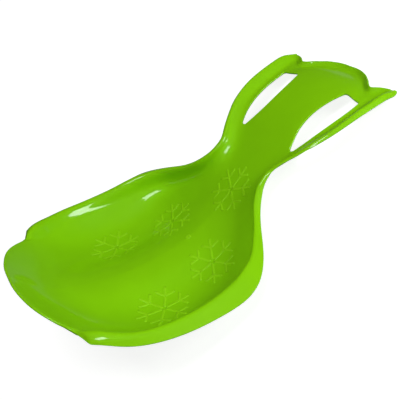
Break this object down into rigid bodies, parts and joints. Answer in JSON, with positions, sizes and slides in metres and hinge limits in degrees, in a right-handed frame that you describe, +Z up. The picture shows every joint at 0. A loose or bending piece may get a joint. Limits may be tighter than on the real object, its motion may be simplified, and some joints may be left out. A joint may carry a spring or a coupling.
{
  "type": "snow slider",
  "caption": "One-piece moulded plastic snow slider: scooped seat pan with an outward-leaning flange, a narrow neck and a broad grip plate with two hand slots.",
  "frame": {"origin": "centre of the bounding box's base, on the floor that the slider rests on", "axes": "+Y from the seat pan towards the grip plate, +Z up in the resting pose, +X to the side, across the mirror plane"},
  "size_m": [0.3952, 0.5755, 0.2026],
  "materials": {
    "shell_plastic": "glossy lime-green moulded plastic"
  },
  "bodies": {
    "root": {"slider_shell": "shell_plastic"}
  },
  "joints": []
}
